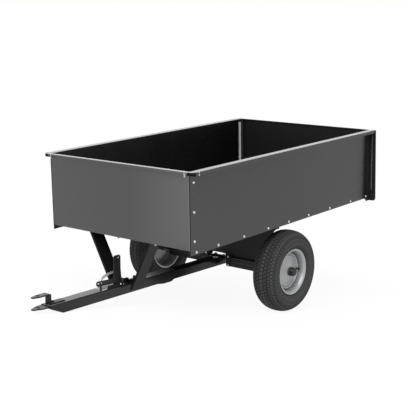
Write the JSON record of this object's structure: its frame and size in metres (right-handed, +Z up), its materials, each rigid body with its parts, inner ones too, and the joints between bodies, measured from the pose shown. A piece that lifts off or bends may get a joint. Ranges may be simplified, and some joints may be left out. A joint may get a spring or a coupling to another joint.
{
  "type": "tipping trailer",
  "caption": "Towed garden trailer: open sheet-steel bed with a lift-out tailgate, tipping about its axle on a channel drawbar, two pneumatic wheels.",
  "frame": {"origin": "on the floor, under the middle of the trailer's length and width as it stands parked", "axes": "+Z up, -Y towards the hitch, +X to the trailer's left side"},
  "size_m": [0.952, 1.9968, 0.9478],
  "materials": {
    "bed_paint": "dark grey powder coat, satin, on sheet steel",
    "drawbar_paint": "dark grey powder coat, satin, on steel channel",
    "black_paint": "black powder coat, satin",
    "hub_paint": "dark grey powder coat, satin",
    "zinc": "bright zinc plate",
    "zinc_dull": "dull zinc plate, darkened",
    "rim": "light grey enamel on pressed steel",
    "cap": "black moulded plastic",
    "tyre": "matt black rubber with block tread"
  },
  "bodies": {
    "chassis": {"drawbar_bush": "drawbar_paint", "drawbar_front": "drawbar_paint", "drawbar_rear": "drawbar_paint", "hitch_plate": "drawbar_paint", "hitch_strap": "drawbar_paint", "latch_bracket": "black_paint", "lever_pivot": "zinc_dull", "lock_pin": "black_paint", "release_lever": "black_paint", "release_pedal": "black_paint", "release_rod": "zinc"},
    "bed": {"axle_beam_left": "black_paint", "axle_beam_right": "black_paint", "axle_bracket_left": "black_paint", "axle_bracket_right": "black_paint", "axle_plate_inner_left": "black_paint", "axle_plate_inner_right": "black_paint", "axle_plate_outer_left": "black_paint", "axle_plate_outer_right": "black_paint", "axle_shaft": "zinc_dull", "axle_web": "black_paint", "bed_floor": "bed_paint", "bed_front_panel": "bed_paint", "bed_side_left": "bed_paint", "bed_side_right": "bed_paint", "latch_keeper": "black_paint", "latch_saddle": "black_paint", "prop_strut_left": "black_paint", "prop_strut_right": "black_paint", "tailgate_guide_left": "black_paint", "tailgate_guide_right": "black_paint", "tailgate_stop_left": "zinc", "tailgate_stop_right": "zinc"},
    "tailgate": {"tailgate": "bed_paint"},
    "wheel_left": {"hub_cap_left": "cap", "hub_left": "hub_paint", "rim_left": "rim", "tyre_left": "tyre"},
    "wheel_right": {"hub_cap_right": "cap", "hub_right": "hub_paint", "rim_right": "rim", "tyre_right": "tyre"}
  },
  "joints": [
    {"name": "bed_tip", "type": "hinge", "parent": "chassis", "child": "bed", "pos_m": [0, 0.27436, 0.203], "axis": [-1, 0, 0], "range_deg": [0, 40]},
    {"name": "tailgate_lift", "type": "slide", "parent": "bed", "child": "tailgate", "axis": [0, -0.1861, 0.9825], "range_m": [0, 0.34]},
    {"name": "wheel_left_spin", "type": "hinge", "parent": "bed", "child": "wheel_left", "pos_m": [0.41, 0.27436, 0.203], "axis": [1, 0, 0], "continuous": true},
    {"name": "wheel_right_spin", "type": "hinge", "parent": "bed", "child": "wheel_right", "pos_m": [-0.41, 0.27436, 0.203], "axis": [1, 0, 0], "continuous": true}
  ]
}
